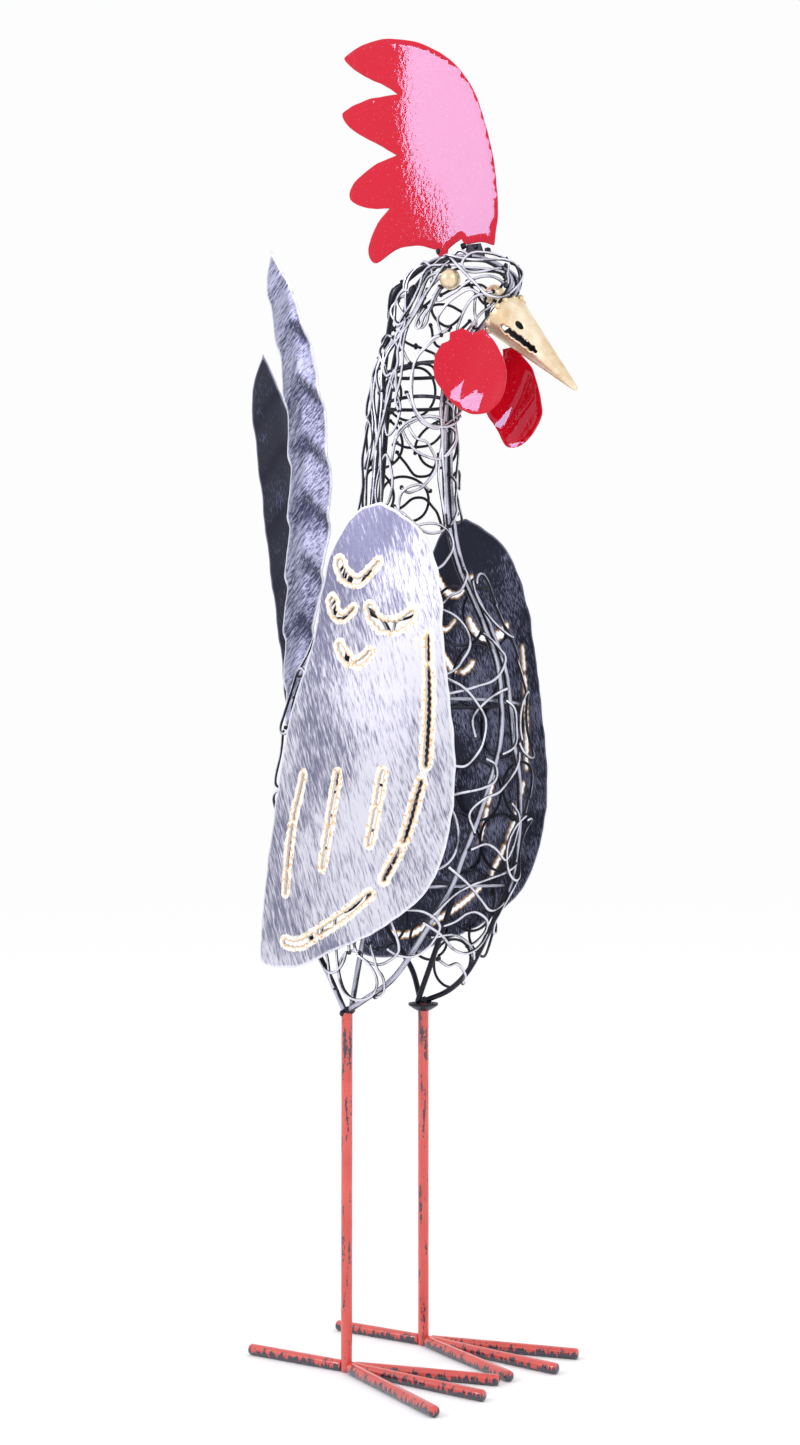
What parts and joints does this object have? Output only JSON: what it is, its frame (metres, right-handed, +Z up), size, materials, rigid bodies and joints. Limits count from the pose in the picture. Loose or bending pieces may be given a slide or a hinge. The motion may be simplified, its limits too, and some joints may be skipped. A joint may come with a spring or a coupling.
{
  "type": "scrap metal rooster sculpture",
  "caption": "Standing rooster sculpture welded from cut sheet metal and curled wire, with pierced wings, toothed comb, pleated tail feathers and rod legs.",
  "frame": {"origin": "middle of the footprint box, on the floor under the feet", "axes": "+Z up along the legs; the bird faces -Y and its right wing is on -X"},
  "size_m": [0.134, 0.2284, 0.7091],
  "materials": {
    "wire_paint": "black paint, dry brushed with silver",
    "brushed_sheet": "black sheet rubbed with silver in fine diagonal strokes",
    "red_enamel": "glossy red enamel",
    "gold_paint": "satin gold paint",
    "leg_paint": "orange red gloss paint, worn to black"
  },
  "bodies": {
    "root": {"back_curls": "wire_paint", "beak": "gold_paint", "breast_curls": "wire_paint", "comb": "red_enamel", "comb_plate": "wire_paint", "eye_left": "gold_paint", "eye_right": "gold_paint", "frame_rod_left": "wire_paint", "frame_rod_right": "wire_paint", "head_curls": "wire_paint", "leg_dish_left": "wire_paint", "leg_left": "leg_paint", "leg_right": "leg_paint", "neck_curls": "wire_paint", "neck_hoop_lower": "wire_paint", "neck_hoop_upper": "wire_paint", "post_left": "wire_paint", "post_right": "wire_paint", "tail_feather_short": "brushed_sheet", "tail_feather_tall": "brushed_sheet", "thigh_curls_left": "wire_paint", "thigh_curls_right": "wire_paint", "toe_left_back": "leg_paint", "toe_left_inner": "leg_paint", "toe_left_middle": "leg_paint", "toe_left_outer": "leg_paint", "toe_right_back": "leg_paint", "toe_right_inner": "leg_paint", "toe_right_middle": "leg_paint", "toe_right_outer": "leg_paint", "torso_hoop_lower": "wire_paint", "torso_hoop_upper": "wire_paint", "wattle_left": "red_enamel", "wattle_right": "red_enamel", "wing_left": "brushed_sheet", "wing_right": "brushed_sheet"}
  },
  "joints": []
}
